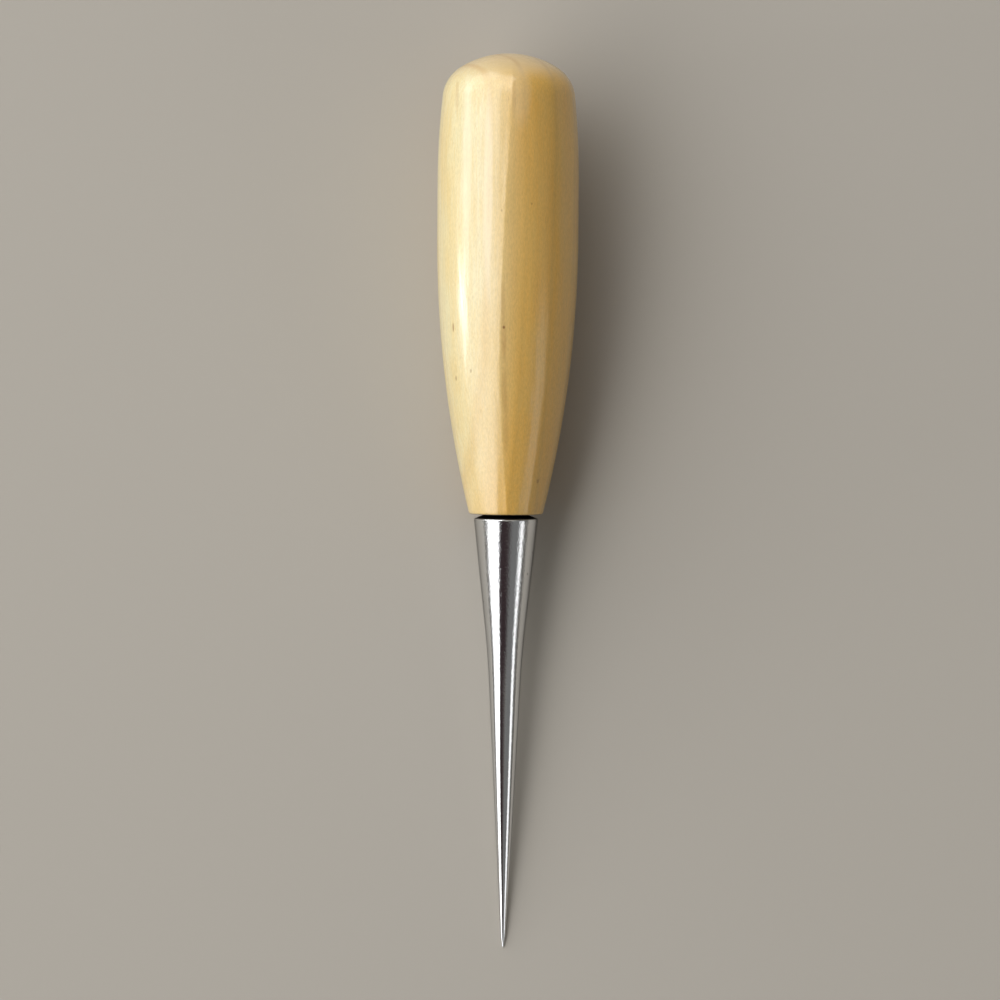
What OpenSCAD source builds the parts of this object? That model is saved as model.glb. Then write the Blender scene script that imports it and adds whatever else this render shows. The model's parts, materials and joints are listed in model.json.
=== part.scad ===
// Pricking awl: a plated steel blade with its tang pressed into a turned wooden handle.
// The tool lies on a table, point towards -Y and butt towards +Y. It touches the table at the heel of
// its point and on the handle's long front taper. The origin is on the table, under the middle of its length.

/* [Handle] */
// Length of the handle, from its front face to the crown of the butt
handle_length = 67.2; // [56:0.1:90]
// Diameter of the parallel belly, the thickest stretch
belly_d = 20.6; // [18:0.1:23]
// Length of the parallel belly
belly_length = 7.6; // [4:0.1:16]
// Distance from the crown of the butt to the belly
butt_to_belly = 18.9; // [15:0.1:24]
// Diameter of the front end, where the long taper would meet the front face
front_d = 10.7; // [10.2:0.1:13]
// Radius of the barrel curve between the belly and the butt
barrel_r = 120; // [80:1:200]
// Radius of the butt's crown
crown_r = 13.2; // [12:0.1:18]
// Radius of the round shoulder between the barrel curve and the crown
corner_r = 5.6; // [3:0.1:6.5]
// Radius of the softened edge round the front face
front_edge_r = 0.45; // [0.2:0.05:1]

/* [Blade] */
// Length of the bare blade, from its rim to the point
blade_length = 62.8; // [50:0.1:90]
// Diameter of the blade at its rim
rim_d = 9.4; // [8:0.1:10]
// Radius of the rounded lip at the rim
lip_r = 0.3; // [0.1:0.05:0.5]
// Diameter where the thick cone and the thin cone would meet
waist_d = 4.9; // [3.6:0.1:5.6]
// Distance from the rim to that meeting of the cones
rim_to_waist = 20; // [14:0.5:24]
// Radius of the concave blend between the two cones
blend_r = 140; // [50:5:250]
// Diameter at the heel of the point, where the thin cone ends
point_d = 0.66; // [0.5:0.02:1.2]
// Length of the point, from its heel to the tip
point_length = 1.6; // [1.2:0.1:3]
// Radius of the rounded tip
tip_r = 0.12; // [0.05:0.01:0.2]

/* [Seat and tang] */
// Gap between the handle's front face and the blade's rim
rim_gap = 0.55; // [0.3:0.05:1.5]
// Diameter of the tang
tang_d = 5; // [3.5:0.1:5.5]
// Width of the ledge round the tang, which seats on the front face
seat_ledge = 0.5; // [0.2:0.05:0.8]
// Length of the tang inside the handle
tang_length = 33; // [20:0.5:38]
// Chamfer on the end of the tang
tang_chamfer = 0.8; // [0.3:0.1:1.5]
// Play round the tang in its bore, zero for a press fit
tang_play = 0; // [0:0.01:0.2]
// Room in the bore past the end of the tang
bore_room = 3; // [1:0.5:6]

/* [Hidden] */
$fn = 180;

// Angle of the drill's point, which shapes the end of the bore
drill_angle = 118;
// Straight steps that stand for each arc of an outline
edge_steps = 6;
taper_steps = 24;
barrel_steps = 12;
corner_steps = 16;
crown_steps = 12;
tip_steps = 5;
blend_steps = 12;
lip_steps = 8;

// Places along the tool's axis, counted from the tip
rim_z = blade_length;
front_z = rim_z + rim_gap;
butt_z = front_z + handle_length;
belly_top_z = butt_z - butt_to_belly;
belly_low_z = belly_top_z - belly_length;

// The handle's outline, in [radius, place along the axis]: arcs that run into each other without a corner
belly_r = belly_d / 2;
taper_length = belly_low_z - front_z;
taper_drop = (belly_d - front_d) / 2;
taper_r = (pow(taper_length, 2) + pow(taper_drop, 2)) / (2 * taper_drop);
taper_centre = [belly_r - taper_r, belly_low_z];
barrel_centre = [belly_r - barrel_r, belly_top_z];
crown_centre = [0, butt_z - crown_r];
corner_centre = meeting(barrel_centre, barrel_r - corner_r, crown_centre, crown_r - corner_r);
edge_z = front_z + front_edge_r;
edge_reach = sqrt(pow(taper_r - front_edge_r, 2) - pow(belly_low_z - edge_z, 2));
edge_centre = [taper_centre.x + edge_reach, edge_z];
edge_angle = direction(taper_centre, edge_centre);
barrel_angle = direction(barrel_centre, corner_centre);
crown_angle = direction(crown_centre, corner_centre);

// The blade's outline: the point, two cones with a concave blend between them, and the lip
rim_r = rim_d / 2;
waist = [waist_d / 2, rim_z - rim_to_waist];
heel = [point_d / 2, point_length];
thick_angle = atan2(rim_r - waist.x, rim_to_waist);
thin_angle = atan2(waist.x - heel.x, waist.y - heel.y);
blend_turn = thick_angle - thin_angle;
blend_reach = blend_r * abs(tan(blend_turn / 2));
blend_low = waist - blend_reach * [sin(thin_angle), cos(thin_angle)];
blend_high = waist + blend_reach * [sin(thick_angle), cos(thick_angle)];
blend_centre = blend_low + sign(blend_turn) * blend_r * [cos(thin_angle), -sin(thin_angle)];
blend_start = direction(blend_centre, blend_low);
blend_end = direction(blend_centre, blend_high);
lip_centre = [rim_r - lip_r * tan(45 + thick_angle / 2), rim_z - lip_r];
lip_low = lip_centre + lip_r * [cos(thick_angle), -sin(thick_angle)];
tip_centre = [0, tip_r];
tip_angle = atan2(heel.x, heel.y - tip_r) - asin(tip_r / norm(heel - tip_centre));

// The seat, the tang and its bore
tang_r = tang_d / 2;
seat_r = tang_r + seat_ledge;
tang_end_z = front_z + tang_length;
bore_r = tang_r + tang_play;
bore_end_z = tang_end_z + bore_room;
bore_point = bore_r / tan(drill_angle / 2);

// The rest: the table touches the long taper, and the heel or the tip, whichever stands out further
rest_tilt = min(rest_angle(heel, 0), rest_angle(tip_centre, tip_r));
tip_height = taper_centre.x * cos(rest_tilt) - taper_centre.y * sin(rest_tilt) + taper_r;
tip_y = tip_r * cos(rest_tilt) - tip_r;
butt_y = crown_centre.y * cos(rest_tilt) + crown_r;

// The angle at which one point lies from another
function direction(from, to) = atan2(to.y - from.y, to.x - from.x);

// The tilt at which a flat table touches the long taper and a circle near the tip
function rest_angle(centre, radius) =
    let (
        reach = taper_centre.y - centre.y,
        drop = centre.x - taper_centre.x
    )
    asin((taper_r - radius) / norm([reach, drop])) - atan2(drop, reach);

// Where two circles cross, on the side towards the butt
function meeting(a, a_r, b, b_r) =
    let (
        apart = norm(b - a),
        along = (b - a) / apart,
        foot = (pow(a_r, 2) - pow(b_r, 2) + pow(apart, 2)) / (2 * apart),
        rise = sqrt(pow(a_r, 2) - pow(foot, 2))
    )
    a + foot * along + rise * [-along.y, along.x];

// Points along an arc in equal steps, without its first point, where the outline already is
function arc(centre, radius, start, end, steps) =
    [
        for (i = [1 : steps])
            let (angle = start + (end - start) * i / steps)
            centre + radius * [cos(angle), sin(angle)]
    ];

// Half the handle's section, from the bore's mouth round the outside to the bore's end
function handle_outline() = concat(
    [[bore_r, front_z], [edge_centre.x, front_z]],
    arc(edge_centre, front_edge_r, -90, edge_angle, edge_steps),
    arc(taper_centre, taper_r, edge_angle, 0, taper_steps),
    [[belly_r, belly_top_z]],
    arc(barrel_centre, barrel_r, 0, barrel_angle, barrel_steps),
    arc(corner_centre, corner_r, barrel_angle, crown_angle, corner_steps),
    arc(crown_centre, crown_r, crown_angle, 90, crown_steps),
    [[0, bore_end_z + bore_point], [bore_r, bore_end_z]]
);

// Half the blade's section, from the tip round the outside to the end of the tang
function blade_outline() = concat(
    [[0, 0]],
    arc(tip_centre, tip_r, -90, -tip_angle, tip_steps),
    [heel, blend_low],
    arc(blend_centre, blend_r, blend_start, blend_end, blend_steps),
    [lip_low],
    arc(lip_centre, lip_r, -thick_angle, 90, lip_steps),
    [[seat_r, front_z], [tang_r, front_z]],
    [[tang_r, tang_end_z - tang_chamfer], [tang_r - tang_chamfer, tang_end_z], [0, tang_end_z]]
);

// Lays the tool, made upright on its tip, on the table
module laid_down() {
    translate([0, -(tip_y + butt_y) / 2, tip_height])
        rotate([rest_tilt - 90, 0, 0])
            children();
}

module handle() {
    color("burlywood")
        laid_down()
            rotate_extrude()
                polygon(handle_outline());
}

module blade() {
    color("silver")
        laid_down()
            rotate_extrude()
                polygon(blade_outline());
}

handle();
blade();
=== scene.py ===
import json

import bpy
import numpy as np
from mathutils import Matrix, Vector


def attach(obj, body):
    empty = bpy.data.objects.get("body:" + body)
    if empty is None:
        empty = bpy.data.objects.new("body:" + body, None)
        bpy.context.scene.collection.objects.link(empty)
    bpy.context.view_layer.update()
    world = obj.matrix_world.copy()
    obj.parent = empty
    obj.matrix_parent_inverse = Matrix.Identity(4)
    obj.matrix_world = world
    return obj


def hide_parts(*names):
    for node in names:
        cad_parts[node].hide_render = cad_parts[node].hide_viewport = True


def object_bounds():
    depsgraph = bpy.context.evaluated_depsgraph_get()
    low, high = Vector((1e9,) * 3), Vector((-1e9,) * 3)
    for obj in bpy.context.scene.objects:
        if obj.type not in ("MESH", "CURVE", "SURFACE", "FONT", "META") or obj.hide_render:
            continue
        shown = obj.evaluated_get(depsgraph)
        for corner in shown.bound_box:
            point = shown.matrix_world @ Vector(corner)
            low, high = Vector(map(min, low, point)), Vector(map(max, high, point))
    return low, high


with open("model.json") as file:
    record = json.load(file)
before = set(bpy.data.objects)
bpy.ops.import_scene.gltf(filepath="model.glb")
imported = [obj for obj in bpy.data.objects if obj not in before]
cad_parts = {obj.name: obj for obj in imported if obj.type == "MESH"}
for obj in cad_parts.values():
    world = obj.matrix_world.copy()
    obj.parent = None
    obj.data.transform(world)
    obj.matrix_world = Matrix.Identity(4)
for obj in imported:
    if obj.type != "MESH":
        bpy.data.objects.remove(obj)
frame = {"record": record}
cad_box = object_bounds()
scene = bpy.context.scene


# Handle: one piece of pale, close-grained hardwood, turned to a barrel with a domed butt and a long front
# taper. Sanding along the grain has left faint lengthwise flats and one soft ridge. It is dipped in clear
# gloss lacquer, and a blind bore in the front face takes the blade's tang.
mm = 0.001
mounts = {mount["name"]: mount for mount in frame["record"]["mounts"]}
front_centre = np.array(mounts["rack_seat"]["pos_m"])
along = np.array(mounts["belly_clip"]["axis"])
across = np.array([1.0, 0.0, 0.0])
upward = np.cross(across, along)
tool_tilt = np.arctan2(along[2], along[1])

belly_r = mounts["belly_clip"]["dims"]["r_mm"]
belly_length = mounts["belly_clip"]["dims"]["length_mm"]
belly_middle = float((np.array(mounts["belly_clip"]["pos_m"]) - front_centre) @ along) / mm
belly_low = belly_middle - belly_length / 2
belly_high = belly_middle + belly_length / 2
handle_length = 67.2
front_r = 5.35
barrel_r = 120.0
crown_r = 13.2
corner_r = 5.6
front_edge_r = 0.45
tang_r = 2.5
tang_length = 33.0
bore_room = 3.0
bore_length = tang_length + bore_room
drill_half_angle = np.radians(59)
bore_point = tang_r / np.tan(drill_half_angle)
handle_sides = 384


def arc(centre, radius, start, end, count):
    """Points on a circle: centre + radius * (cos angle, sin angle), in equal steps from start to end."""
    angle = np.linspace(start, end, count)
    return np.stack([centre[0] + radius * np.cos(angle), centre[1] + radius * np.sin(angle)], axis=1)


def line(start, end, count):
    """Points on a straight line, in equal steps from start to end."""
    return np.linspace(start, end, count)


def bearing(start, end):
    """The angle at which one point lies from another: atan2 of the rise over the run."""
    return np.arctan2(end[1] - start[1], end[0] - start[0])


def outline(*runs):
    """Runs of (distance along the axis, radius) joined end to end.

    Each run after the first leaves out its first point, which is the one that the last run ended on.
    """
    return np.concatenate([runs[0]] + [run[1:] for run in runs[1:]])


def handle_outline():
    """Half the handle's section, from the end of the bore round the outside to the crown of the butt.

    The long taper, the barrel curve, the shoulder and the crown are circles that run into each other without
    a corner; the shoulder's centre is where a circle barrel_r - corner_r round the barrel's centre crosses
    one of crown_r - corner_r round the crown's.
    """
    drop = belly_r - front_r
    taper_r = (belly_low**2 + drop**2) / (2 * drop)
    taper = np.array([belly_low, belly_r - taper_r])
    edge_rise = np.sqrt((taper_r - front_edge_r) ** 2 - (belly_low - front_edge_r) ** 2)
    edge = np.array([front_edge_r, taper[1] + edge_rise])
    barrel = np.array([belly_high, belly_r - barrel_r])
    crown = np.array([handle_length - crown_r, 0.0])
    reach = barrel_r - corner_r
    near = crown_r - corner_r
    apart = np.hypot(*(crown - barrel))
    step = (crown - barrel) / apart
    foot = (reach**2 - near**2 + apart**2) / (2 * apart)
    corner = barrel + foot * step + np.sqrt(reach**2 - foot**2) * np.array([step[1], -step[0]])
    edge_end = bearing(taper, edge)
    barrel_end = bearing(barrel, corner)
    crown_start = bearing(crown, corner)
    quarter = np.pi / 2
    return outline(
        line((bore_length + bore_point, 0), (bore_length, tang_r), 4),
        line((bore_length, tang_r), (0, tang_r), 12),
        line((0, tang_r), (0, edge[1]), 6),
        arc(edge, front_edge_r, 2 * quarter, edge_end, 8),
        arc(taper, taper_r, edge_end, quarter, 104),
        line((belly_low, belly_r), (belly_high, belly_r), 18),
        arc(barrel, barrel_r, quarter, barrel_end, 34),
        arc(corner, corner_r, barrel_end, crown_start, 26),
        arc(crown, crown_r, crown_start, 0, 22),
    )


def turned(name, profile, sides, swell):
    """A closed turned form: the profile carried round the tool's axis.

    A point is front centre + distance * along + radius * (sin(turn) * across + cos(turn) * upward), with the
    turn counted from the top. swell(distance, turn) is added to the radius, times how squarely the profile
    faces outwards. The profile starts and ends on the axis, and each end is one vertex with a fan of
    triangles.
    """
    turn = np.linspace(0, 2 * np.pi, sides, endpoint=False)
    distance = np.repeat(profile[1:-1, :1], sides, axis=1)
    slope = np.gradient(profile, axis=0)
    facing = (slope[:, 0] / np.hypot(slope[:, 0], slope[:, 1]))[1:-1, None].clip(0, 1)
    radius = np.repeat(profile[1:-1, 1:], sides, axis=1) + facing * swell(distance, turn[None, :])
    rings = (
        distance[..., None] * along
        + (radius * np.sin(turn))[..., None] * across
        + (radius * np.cos(turn))[..., None] * upward
    )
    poles = profile[[0, -1], :1] * along
    points = front_centre + mm * np.concatenate([rings.reshape(-1, 3), poles])
    count = len(profile) - 2
    index = np.arange(count * sides).reshape(count, sides)
    after = np.roll(index, -1, axis=1)
    quads = np.stack([index[:-1], after[:-1], after[1:], index[1:]], axis=-1).reshape(-1, 4)
    first_pole = np.full(sides, count * sides)
    first_fan = np.stack([first_pole, after[0], index[0]], 1)
    last_fan = np.stack([first_pole + 1, index[-1], after[-1]], 1)
    mesh = bpy.data.meshes.new(name)
    mesh.from_pydata(points.tolist(), [], quads.tolist() + first_fan.tolist() + last_fan.tolist())
    mesh.shade_smooth()
    mesh.set_sharp_from_angle(angle=np.radians(35))
    piece = bpy.data.objects.new(name, mesh)
    scene.collection.objects.link(piece)
    return piece


def waves_round(waves, distance, turn):
    """The sum of waves round the axis, whose crests sway along it.

    Each wave is height * cos(count * turn + start + sway * sin(distance / pace + shift)).
    """
    return sum(
        height * np.cos(count * turn + start + sway * np.sin(distance / pace + shift))
        for height, count, start, sway, pace, shift in waves
    )


# The flats are three waves: height in millimetres, count round the handle, start, sway, pace and shift.
flat_waves = [
    (0.018, 9, 0.7, 0.9, 17.0, 0.0),
    (0.012, 14, 2.1, 1.2, 11.0, 1.0),
    (0.006, 23, 4.4, 1.5, 7.0, 2.0),
]

# The ridge's turn from the top, and how far the wood leans on its left, at places along the handle.
ridge_places = np.array([0.0, 6.0, 14.0, 22.0, 31.0, 46.0, 53.0, 64.0])
ridge_turns = np.radians([2.0, -2.7, -5.0, -6.2, -5.0, -2.5, 0.8, 3.5])
ridge_leans = np.radians([9.0, 9.0, 8.5, 8.0, 9.0, 10.5, 12.0, 13.0])
ridge_line = np.polynomial.Polynomial.fit(ridge_places, ridge_turns, 4)
ridge_lean = np.polynomial.Polynomial.fit(ridge_places, ridge_leans, 3)
steep_reach = np.radians(7.0)
easy_reach = np.radians(28.0)
waver_height = np.radians(0.3)
waver_pace = 1.9
drift_height = 1.5
drift_pace = 0.7


def sanded(distance, turn):
    """How far the sanded surface stands off a true turning, in millimetres.

    Three gentle waves round the handle, whose crests wander along its length, make the flats. The ridge is a
    crest that falls off as exp(-gap / reach), four times as fast on its left, where the surface leans by
    ridge_lean. Its line wavers by a sine of the distance, whose pace a slower sine varies.
    """
    waver = waver_height * np.sin(waver_pace * distance + drift_height * np.sin(drift_pace * distance))
    gap = (turn - ridge_line(distance) - waver + np.pi) % (2 * np.pi) - np.pi
    reach = np.where(gap < 0, steep_reach, easy_reach)
    ridge = ridge_lean(distance) * steep_reach * belly_r * np.exp(-np.abs(gap) / reach)
    return waves_round(flat_waves, distance, turn) + ridge


handle_profile = handle_outline()
handle = turned("handle_turning", handle_profile, handle_sides, sanded)


def wire(tree, kind, inputs=None, **properties):
    """A shader node with its properties set.

    Each input takes a plain value, or a link from another node's output.
    """
    node = tree.nodes.new("ShaderNode" + kind)
    for name, value in properties.items():
        setattr(node, name, value)
    for socket, value in (inputs or {}).items():
        if isinstance(value, bpy.types.NodeSocket):
            tree.links.new(value, node.inputs[socket])
        else:
            node.inputs[socket].default_value = value
    return node


def tint(red, green, blue):
    """A colour given in the usual 0 to 255 steps of a screen, as the linear colour that a shader takes."""
    share = np.array([red, green, blue]) / 255
    linear = np.where(share <= 0.04045, share / 12.92, ((share + 0.055) / 1.055) ** 2.4)
    return (*linear.tolist(), 1.0)


def blend_colours(tree, share, first, second, way="MIX"):
    """The output of a colour mix: first where share is 0, second where it is 1."""
    node = wire(tree, "Mix", {0: share, 6: first, 7: second}, data_type="RGBA", blend_type=way)
    return node.outputs[2]


def product(tree, first, second):
    """The output of first times second."""
    return wire(tree, "Math", {0: first, 1: second}, operation="MULTIPLY").outputs[0]


def less(tree, first, second):
    """The output of first minus second."""
    return wire(tree, "Math", {0: first, 1: second}, operation="SUBTRACT").outputs[0]


def scaled_sum(tree, value, factor, rest):
    """The output of value * factor + rest."""
    return wire(tree, "Math", {0: value, 1: factor, 2: rest}, operation="MULTIPLY_ADD").outputs[0]


def stretch(tree, vector, scale):
    """The output of a vector scaled by three factors, which packs or draws out a pattern along each axis."""
    return wire(tree, "VectorMath", {0: vector, 1: scale}, operation="MULTIPLY").outputs[0]


def steps(tree, value, low, high, out_low=0.0, out_high=1.0):
    """The output of a smooth ramp from out_low at value low to out_high at value high."""
    inputs = {"Value": value, "From Min": low, "From Max": high, "To Min": out_low, "To Max": out_high}
    return wire(tree, "MapRange", inputs, interpolation_type="SMOOTHSTEP").outputs["Result"]


def noise(tree, place, scale, detail):
    """The output of cloudy noise, about 0.3 to 0.7, over a place stretched by scale, with finer layers."""
    inputs = {"Vector": stretch(tree, place, scale), "Scale": 1.0, "Detail": detail}
    return wire(tree, "TexNoise", inputs).outputs["Fac"]


def tool_place(tree, origin):
    """The place on the tool in millimetres: x across it, y along its axis from the origin, z up from it."""
    where = wire(tree, "TexCoord").outputs["Object"]
    inputs = {"Vector": where, "Location": origin, "Rotation": (tool_tilt, 0, 0), "Scale": (mm, mm, mm)}
    return wire(tree, "Mapping", inputs, vector_type="TEXTURE").outputs[0]


def spot(tree, place, centre, size):
    """The output of a soft spot: 1 round its centre, 0 past its size along each of the tool's axes."""
    gap = wire(tree, "VectorMath", {0: place, 1: centre}, operation="SUBTRACT").outputs[0]
    share = wire(tree, "VectorMath", {0: gap, 1: size}, operation="DIVIDE").outputs[0]
    span = wire(tree, "VectorMath", {0: share}, operation="LENGTH").outputs["Value"]
    return steps(tree, span, 0.35, 1.0, 1.0, 0.0)


wood = bpy.data.materials.new("lacquered_hardwood")
wood.use_nodes = True
tree = wood.node_tree
shader = tree.nodes["Principled BSDF"]
place = tool_place(tree, front_centre)
place_along = wire(tree, "SeparateXYZ", {0: place}).outputs["Y"]

# The pale sapwood colour below is partly painted light, for the handle's lit left side.
sap_and_lit_wood = tint(221, 211, 167)
heart_wood = tint(228, 176, 78)
warm_wood = tint(219, 184, 104)
ring_wood = tint(200, 160, 84)
fleck_wood = tint(178, 134, 66)
# The dark brown below is painted shade, for the front face in the gap behind the blade's rim.
gap_shade_wood = tint(52, 34, 18)
end_wood = tint(220, 196, 150)
end_ring_wood = tint(207, 172, 118)
# The near-white streak colour below paints the lacquer's glints on the left as painted highlights, and one
# short pale streak on the butt.
glint_and_pale_colour = tint(248, 240, 216)
brown_streak = tint(164, 108, 36)
speck_wood = tint(128, 78, 26)
cloud_strength = 0.4
ring_strength = 0.3
fibre_strength = 0.28
fleck_strength = 0.2
gap_shade_strength = 0.9
end_strength = 0.75

# Growth rings: thin darker lines at even steps from a pith that lay well outside the blank. Slow noise bends
# them, and they run out of the handle's side at a slight slope.
pith = (60.0, 0.0, -20.0)
ring_step = 2.3
ring_bend = 4.0
grain_run_out = -0.008
wander = noise(tree, place, (0.06, 0.012, 0.06), 2.0)
from_pith = wire(tree, "VectorMath", {0: place, 1: pith}, operation="SUBTRACT").outputs[0]
flat_pith = stretch(tree, from_pith, (1.0, 0.0, 1.0))
pith_span = wire(tree, "VectorMath", {0: flat_pith}, operation="LENGTH").outputs["Value"]
bent_span = scaled_sum(tree, wander, ring_bend, pith_span)
age = scaled_sum(tree, place_along, grain_run_out, bent_span)
ring_turns = wire(tree, "Math", {0: age, 1: ring_step}, operation="DIVIDE").outputs[0]
ring_wave = wire(tree, "Math", {0: ring_turns, 1: 1.0}, operation="PINGPONG").outputs[0]
ring_mark = steps(tree, ring_wave, 0.72, 1.0)

# Fibres: fine noise drawn out along the grain, short darker flecks where pores are cut, slow clouds of warmer
# wood, and a fine mottle of light and dark.
fibre = noise(tree, place, (3.6, 0.16, 3.6), 4.0)
fleck = noise(tree, place, (5.5, 0.9, 5.5), 1.0)
cloud = noise(tree, place, (0.22, 0.05, 0.22), 3.0)
mottle = noise(tree, place, (6.0, 1.6, 6.0), 3.0)
fleck_mask = steps(tree, fleck, 0.62, 0.78)
mottle_shade = steps(tree, mottle, 0.3, 0.7, 0.92, 1.05)

# Sapwood and painted light: the left side of the handle, where the key light falls, is paler than the top and
# the right. It is partly the side of the blank that lay nearest the bark, paler than the side nearest the
# heart, and partly painted light.
pale_ramp_start = 66.8
pale_ramp_end = 72.4
sap_and_lit_range = {"Value": age, "From Min": pale_ramp_start, "From Max": pale_ramp_end}
sap_and_lit_share = wire(tree, "MapRange", sap_and_lit_range).outputs["Result"]
body = blend_colours(tree, sap_and_lit_share, heart_wood, sap_and_lit_wood)
cloud_share = steps(tree, cloud, 0.32, 0.68, 0.0, cloud_strength)
body = blend_colours(tree, cloud_share, body, warm_wood)
body = blend_colours(tree, product(tree, ring_mark, ring_strength), body, ring_wood)
fibre_share = steps(tree, fibre, 0.3, 0.7, 0.0, fibre_strength)
body = blend_colours(tree, fibre_share, body, warm_wood)
body = blend_colours(tree, 1.0, body, mottle_shade, "MULTIPLY")
body = blend_colours(tree, product(tree, fleck_mask, fleck_strength), body, fleck_wood)

# The front face round the tang is bare end grain. It is painted dark brown, near black, as painted shade for
# the narrow gap behind the blade's rim.
gap_shade_share = steps(tree, place_along, 0.02, 0.12, gap_shade_strength, 0.0)
body = blend_colours(tree, gap_shade_share, body, gap_shade_wood)

# End grain on the domed butt is a shade greyer, and the growth rings show as brown lines across it.
end_start = handle_length - 4.6
end_full = handle_length - 0.9
end_share = steps(tree, place_along, end_start, end_full, 0.0, end_strength)
body = blend_colours(tree, end_share, body, end_wood)
body = blend_colours(tree, product(tree, ring_mark, end_share), body, end_ring_wood)

# Streaks and specks: pale streaks, of which the two long ones on the left are painted highlights for the
# lacquer's lengthwise glints and the third is a short pale streak on the butt, brown grain that the sanding
# has cut, and small knots and bark marks. Each has a distance from the front face, a turn from the top in
# degrees, half its length and width in millimetres, and a strength.
glint_and_pale_streaks = [
    # The first two are painted highlights: the lacquer's lengthwise glints on the handle's left.
    (51.0, -35.9, 19.0, 0.90, 0.32),
    (46.4, -16.5, 21.0, 0.90, 0.30),
    (61.5, 10.5, 7.0, 2.00, 0.13),
]
brown_streaks = [
    (31.5, -3.6, 4.0, 0.50, 0.20),
    (26.0, -3.2, 4.6, 0.55, 0.22),
    (24.5, -1.9, 3.0, 0.36, 0.16),
    (18.8, -2.4, 4.6, 0.55, 0.22),
    (16.0, -0.8, 3.2, 0.38, 0.16),
    (12.0, -0.6, 4.2, 0.55, 0.18),
    (61.2, -51.4, 5.0, 0.35, 0.22),
    (60.8, 4.5, 4.5, 0.45, 0.16),
]
specks = [
    (27.4, -3.0, 0.34, 0.30, 0.85),
    (45.3, 19.2, 0.30, 0.22, 0.40),
    (21.0, -35.0, 0.42, 0.20, 0.45),
    (5.0, 44.5, 0.45, 0.28, 0.45),
    (27.3, -53.5, 0.95, 0.17, 0.70),
    (19.9, -55.0, 0.55, 0.18, 0.55),
    (44.3, -5.2, 0.35, 0.22, 0.40),
]

# The profile's first points lie in the bore and on the front face; the marks lie on the outside.
inside_points = 20
outside_place, outside_r = handle_profile[inside_points:].T
for colour, marks in [(glint_and_pale_colour, glint_and_pale_streaks), (brown_streak, brown_streaks), (speck_wood, specks)]:
    for distance, turn, length, width, strength in marks:
        radius = np.interp(distance, outside_place, outside_r)
        side = np.radians(turn)
        centre = (radius * np.sin(side), distance, radius * np.cos(side))
        depth = max(2 * width, 0.3 * length)
        mark = spot(tree, place, centre, (width, length, depth))
        body = blend_colours(tree, product(tree, mark, strength), body, colour)

# Sanding: long fine scratches with the grain, which the lacquer follows.
grain_depth = 0.02 * mm
film_depth = 0.12 * mm
scratch = noise(tree, place, (1.5, 0.1, 1.5), 3.0)
grain_height = less(tree, fibre, fleck_mask)
grain_bump = wire(tree, "Bump", {"Height": grain_height, "Strength": 0.5, "Distance": grain_depth})
film_bump = wire(tree, "Bump", {"Height": scratch, "Strength": 0.5, "Distance": film_depth})
gloss = steps(tree, fibre, 0.3, 0.7, 0.38, 0.48)
tree.links.new(body, shader.inputs["Base Color"])
tree.links.new(gloss, shader.inputs["Roughness"])
tree.links.new(grain_bump.outputs["Normal"], shader.inputs["Normal"])
tree.links.new(film_bump.outputs["Normal"], shader.inputs["Coat Normal"])
shader.inputs["Specular IOR Level"].default_value = 0.5
shader.inputs["Coat Weight"].default_value = 1.0
shader.inputs["Coat Roughness"].default_value = 0.22
shader.inputs["Coat IOR"].default_value = 1.6

handle.data.materials.append(wood)
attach(handle, "root")
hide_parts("handle")


# Blade: one piece of round steel, turned to a needle point through two cones with a concave blend between
# them, then polished and bright plated. A chamfered shoulder stands its rounded rim a little off the wood,
# and the tang behind it is pressed into the handle's bore.
rim_gap = 0.55
blade_length = 62.8
rim_r = 4.7
lip_r = 0.3
waist_r = 2.45
rim_to_waist = 20.0
blend_r = 140.0
point_r = 0.33
point_length = 1.6
tip_r = 0.12
seat_ledge = 0.5
seat_r = tang_r + seat_ledge
tang_chamfer = 0.8
blade_sides = 192
rim_place = -rim_gap
waist_place = rim_place - rim_to_waist
tip_place = rim_place - blade_length
heel_place = tip_place + point_length


def blade_outline():
    """Half the blade's section, from the tip round the outside to the end of the tang.

    The blend is a circle that touches both cones: it leaves each one blend_r * tan(half the turn between
    them) away from the waist, where the cones would meet.
    """
    waist = np.array([waist_place, waist_r])
    heel = np.array([heel_place, point_r])
    thick = np.arctan2(rim_r - waist_r, rim_to_waist)
    thin = bearing(heel, waist)
    reach = blend_r * np.tan((thick - thin) / 2)
    blend_low = waist - reach * np.array([np.cos(thin), np.sin(thin)])
    blend_high = waist + reach * np.array([np.cos(thick), np.sin(thick)])
    blend = blend_low + blend_r * np.array([-np.sin(thin), np.cos(thin)])
    lip = np.array([rim_place - lip_r, rim_r - lip_r * np.tan(np.pi / 4 + thick / 2)])
    lip_low = lip + lip_r * np.array([-np.sin(thick), np.cos(thick)])
    ball = np.array([tip_place + tip_r, 0.0])
    lean = bearing(ball, heel) - np.arcsin(tip_r / np.hypot(*(heel - ball)))
    ball_end = lean + np.pi / 2
    ball_last = ball + tip_r * np.array([np.cos(ball_end), np.sin(ball_end)])
    return outline(
        arc(ball, tip_r, np.pi, ball_end, 7),
        line(ball_last, heel, 10),
        line(heel, blend_low, 90),
        arc(blend, blend_r, thin - np.pi / 2, thick - np.pi / 2, 30),
        line(blend_high, lip_low, 50),
        arc(lip, lip_r, thick + np.pi / 2, 0, 12),
        line((rim_place, lip[1]), (0, seat_r), 5),
        line((0, seat_r), (0, tang_r), 3),
        line((0, tang_r), (tang_length - tang_chamfer, tang_r), 8),
        line((tang_length - tang_chamfer, tang_r), (tang_length, tang_r - tang_chamfer), 3),
        line((tang_length, tang_r - tang_chamfer), (tang_length, 0), 3),
    )


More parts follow.
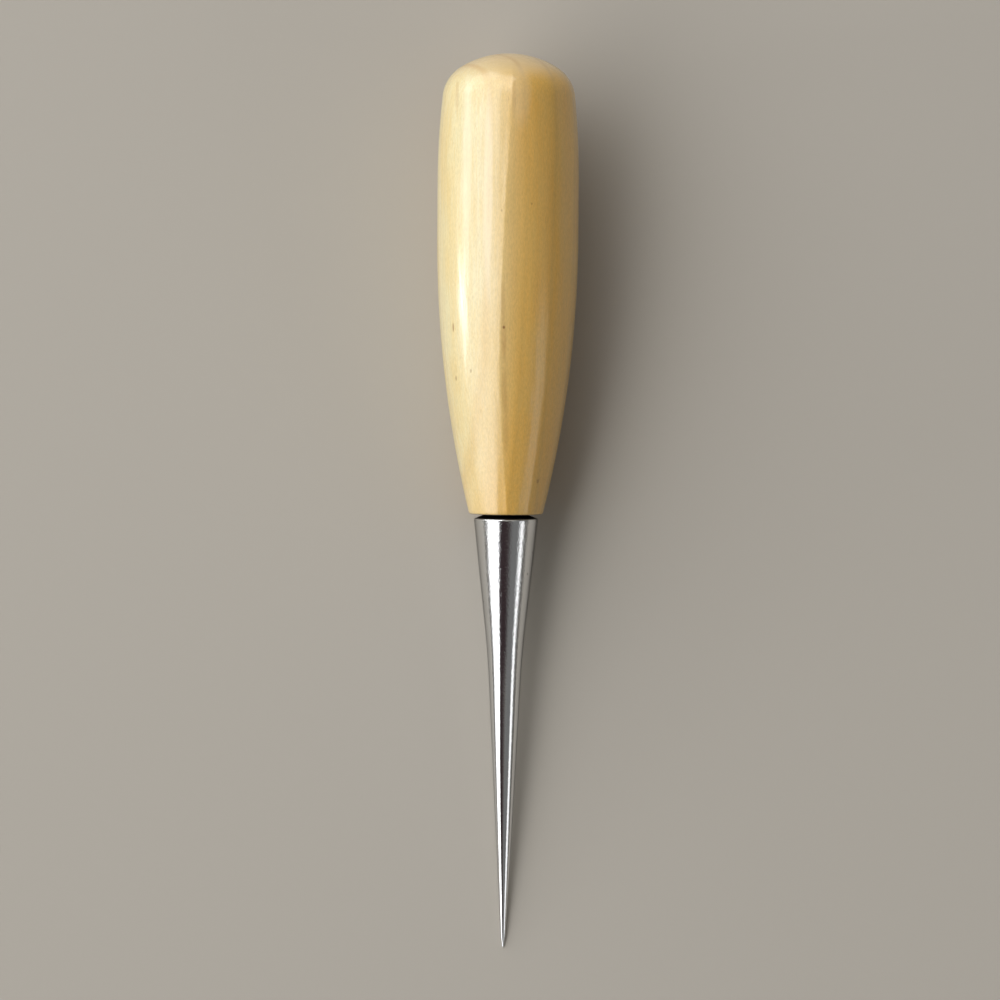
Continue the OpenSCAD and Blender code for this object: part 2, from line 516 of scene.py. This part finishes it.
# The polish has two faint waves: height in millimetres, count round the blade, start, sway, pace and shift.
polish_waves = [
    (0.0016, 5, 0.0, 0.8, 9.0, 0.0),
    (0.0007, 11, 1.3, 1.1, 5.0, 0.0),
]

# The oval's height at places along the blade, as a share of the thin cone's radius, and its crest's turn.
oval_places = [heel_place, -48.0, -36.0, -20.0, -7.0, -1.0]
oval_shares = [0.13, 0.12, 0.09, 0.05, 0.03, 0.0]
oval_turn = np.radians(-58)


def polished(distance, turn):
    """How far the polished steel stands off a true cone, in millimetres.

    Two faint waves wander lengthwise. Polishing by hand has left the blade a little oval: a wave of two
    crests round it, as high as its share times the radius of the thin cone, and of the waist behind that.
    """
    cone_r = np.interp(distance, [tip_place, heel_place, waist_place], [0.0, point_r, waist_r])
    oval = np.interp(distance, oval_places, oval_shares) * cone_r * np.cos(2 * (turn - oval_turn))
    return waves_round(polish_waves, distance, turn) + oval


blade = turned("blade_turning", blade_outline(), blade_sides, polished)

steel = bpy.data.materials.new("bright_plated_steel")
steel.use_nodes = True
tree = steel.node_tree
shader = tree.nodes["Principled BSDF"]
place = tool_place(tree, front_centre)
place_along = wire(tree, "SeparateXYZ", {0: place}).outputs["Y"]

bright_plate = tint(230, 231, 232)
pit_colour = tint(84, 82, 80)
# The near-black colour below is painted shade, for the blade's shoulder in the gap behind the rim.
gap_shade_black = tint(30, 26, 24)
pit_strength = 0.75
shoulder_roughness = 0.7
shoulder_edge = 0.03
peel_depth = 0.03 * mm

# Polish: hair lines round the blade and a faint orange peel in the plating.
hair = noise(tree, place, (0.25, 9.0, 0.25), 3.0)
peel = noise(tree, place, (4.0, 4.0, 4.0), 2.0)

# Pits: pinholes in the plating, a few hundredths of a millimetre deep, scattered thinly over the blade.
cells = wire(tree, "TexVoronoi", {"Vector": stretch(tree, place, (0.42, 0.42, 0.42)), "Scale": 1.0})
pit = steps(tree, cells.outputs["Distance"], 0.03, 0.07, 1.0, 0.0)
plate = blend_colours(tree, product(tree, pit, pit_strength), bright_plate, pit_colour)

# The shoulder behind the rim and the tang are painted near black and made matt, as painted shade for the
# narrow gap between the rim and the wood.
shoulder_shade_share = steps(tree, place_along, rim_place - shoulder_edge, rim_place + shoulder_edge)
plate = blend_colours(tree, shoulder_shade_share, plate, gap_shade_black)
polish = steps(tree, hair, 0.3, 0.7, 0.1, 0.15)
sheen = wire(tree, "Mix", {0: shoulder_shade_share, 2: polish, 3: shoulder_roughness}).outputs[0]

# The peel and the pits stand in the surface. They fade towards the point, where the polish is finer.
peel_share = steps(tree, place_along, -34.0, -8.0, 0.2, 1.0)
peel_height = product(tree, less(tree, peel, pit), peel_share)
peel_bump = wire(tree, "Bump", {"Height": peel_height, "Strength": 0.9, "Distance": peel_depth})
tree.links.new(plate, shader.inputs["Base Color"])
tree.links.new(sheen, shader.inputs["Roughness"])
tree.links.new(peel_bump.outputs["Normal"], shader.inputs["Normal"])
shader.inputs["Metallic"].default_value = 1.0
shader.inputs["Specular Tint"].default_value = (0.4, 0.4, 0.4, 1.0)

blade.data.materials.append(steel)
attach(blade, "root")
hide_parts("blade")


# Floor: a plain pale board under the tool, matt and a little warm. It lies at the height of the table that
# the tool rests on, and is wide enough to reach the horizon.
floor_half = 6.0
floor_mesh = bpy.data.meshes.new("floor")
floor_corners = floor_half * np.array([[-1, -1, 0], [1, -1, 0], [1, 1, 0], [-1, 1, 0]])
floor_mesh.from_pydata(floor_corners.tolist(), [], [(0, 1, 2, 3)])
floor = bpy.data.objects.new("floor", floor_mesh)
scene.collection.objects.link(floor)
board = bpy.data.materials.new("pale_board")
board.use_nodes = True
board_shader = board.node_tree.nodes["Principled BSDF"]
board_shader.inputs["Base Color"].default_value = tint(174, 169, 160)
board_shader.inputs["Roughness"].default_value = 0.9
board_shader.inputs["Specular IOR Level"].default_value = 0.2
floor_mesh.materials.append(board)


# Light: a long soft box on the left, a narrow strip box on the right, a small bulb box low on the left and a
# soft box low at the back left, in a dim room. Its ceiling is dark on the left, paler on the right, and has
# a soft glow nearly overhead.
tool_middle = Vector((cad_box[0] + cad_box[1]) / 2)
light_range = 1.6


def soft_box(name, high, low, side, ahead, behind, brightness, slant=0, heading=0, low_share=1):
    """A long rectangle of soft light beside the tool.

    Seen from the tool it spans two angles off the vertical, high and low, on one side, and two angles along
    the tool, ahead past the point and behind past the butt. It may be slanted in its own plane, or turned
    round the tool by a heading. Its power is brightness * pi * its area. Its upper half is even, and its
    lower half fades to low_share of that at the low edge.
    """
    aim = np.radians((high + low) / 2)
    width = 2 * light_range * np.tan(np.radians((low - high) / 2))
    length = light_range * (np.tan(np.radians(ahead)) + np.tan(np.radians(behind)))
    middle = light_range * (np.tan(np.radians(behind)) - np.tan(np.radians(ahead))) / 2
    lamp = bpy.data.lights.new(name, "AREA")
    lamp.shape = "RECTANGLE"
    lamp.size = width
    lamp.size_y = length
    lamp.energy = brightness * np.pi * width * length
    lamp.use_nodes = True
    lamp_tree = lamp.node_tree
    spread = wire(lamp_tree, "SeparateXYZ", {0: wire(lamp_tree, "NewGeometry").outputs["Parametric"]})
    share = steps(lamp_tree, spread.outputs["X"], 0.5, 0.0, 1.0, low_share)
    lamp_tree.links.new(share, lamp_tree.nodes["Emission"].inputs["Strength"])
    box = bpy.data.objects.new(name, lamp)
    out = Vector((side * np.sin(aim), 0.0, np.cos(aim)))
    wide = Vector((0.0, 1.0, 0.0)).cross(out)
    turn = Matrix((wide, Vector((0.0, 1.0, 0.0)), out)).transposed()
    stand = Matrix.Translation(light_range * out) @ turn.to_4x4()
    shift = Matrix.Rotation(np.radians(slant), 4, "Z") @ Matrix.Translation((0.0, middle, 0.0))
    around = Matrix.Translation(tool_middle) @ Matrix.Rotation(np.radians(heading), 4, "Z")
    box.matrix_world = around @ stand @ shift
    box.visible_camera = False
    scene.collection.objects.link(box)
    return box


left = -1
right = 1
soft_box("left_soft_box", 23, 74, left, 48, 80, brightness=2.7, slant=-22, low_share=0.16)
soft_box("right_strip_box", 58, 73, right, 45, -8, brightness=1.2)
bulb_box = soft_box("left_bulb_box", 77, 86, left, 8, -3, brightness=28)
soft_box("back_soft_box", 60, 88, left, 32, 32, brightness=2.4, heading=-45)

# The bulb lights the handle and the floor; the blade is shaded from it.
bulb_lit = bpy.data.collections.new("bulb_lit")
bulb_lit.objects.link(handle)
bulb_lit.objects.link(floor)
bulb_box.light_linking.receiver_collection = bulb_lit

left_ceiling = tint(52, 40, 42)
right_ceiling = tint(116, 116, 115)
front_horizon = tint(104, 101, 95)
back_horizon = tint(112, 109, 103)
glow_colour = tint(186, 183, 176)
glow_heading = Vector((0.22, 0.27, 0.94)).normalized()
glow_edge = np.radians(35)
glow_core = np.radians(6)
world = bpy.data.worlds.new("dim_room")
world.use_nodes = True
scene.world = world
tree = world.node_tree
direction = wire(tree, "TexCoord").outputs["Generated"]
bearings = wire(tree, "SeparateXYZ", {0: direction})
overhead = steps(tree, bearings.outputs["Z"], 0.05, 0.5)
beside = steps(tree, bearings.outputs["X"], 0.15, 0.46)
behind = steps(tree, bearings.outputs["Y"], 0.2, 0.9)
glow_dot = wire(tree, "VectorMath", {0: direction, 1: glow_heading}, operation="DOT_PRODUCT")
glow = steps(tree, glow_dot.outputs["Value"], np.cos(glow_edge), np.cos(glow_core))
ceiling = blend_colours(tree, beside, left_ceiling, right_ceiling)
ceiling = blend_colours(tree, glow, ceiling, glow_colour)
horizon = blend_colours(tree, behind, front_horizon, back_horizon)
room = blend_colours(tree, overhead, horizon, ceiling)
tree.links.new(room, tree.nodes["Background"].inputs["Color"])


# Camera: above the tool and a few degrees towards its point, turned so that the butt leans a little to the
# right. The picture is one frame_width wide where the tool lies.
frame_width = 146.0 * mm
camera_range = 1.2
camera_pitch = np.radians(4.2)
camera_roll = np.radians(0.4)
aim_along = 2.06
aim_across = -0.89
aim_point = Vector(front_centre + mm * (aim_along * along + aim_across * across))
lens = bpy.data.cameras.new("camera")
lens.sensor_width = 36.0
lens.lens = lens.sensor_width * camera_range / frame_width
camera = bpy.data.objects.new("camera", lens)
look = Vector((0.0, np.sin(camera_pitch), -np.cos(camera_pitch)))
level = Vector((1.0, 0.0, 0.0))
top = level.cross(look)
right_hand = np.cos(camera_roll) * level + np.sin(camera_roll) * top
image_up = np.cos(camera_roll) * top - np.sin(camera_roll) * level
camera_turn = Matrix((right_hand, image_up, -look)).transposed()
camera.matrix_world = Matrix.Translation(aim_point - camera_range * look) @ camera_turn.to_4x4()
scene.collection.objects.link(camera)
scene.camera = camera

scene.view_settings.view_transform = "Standard"
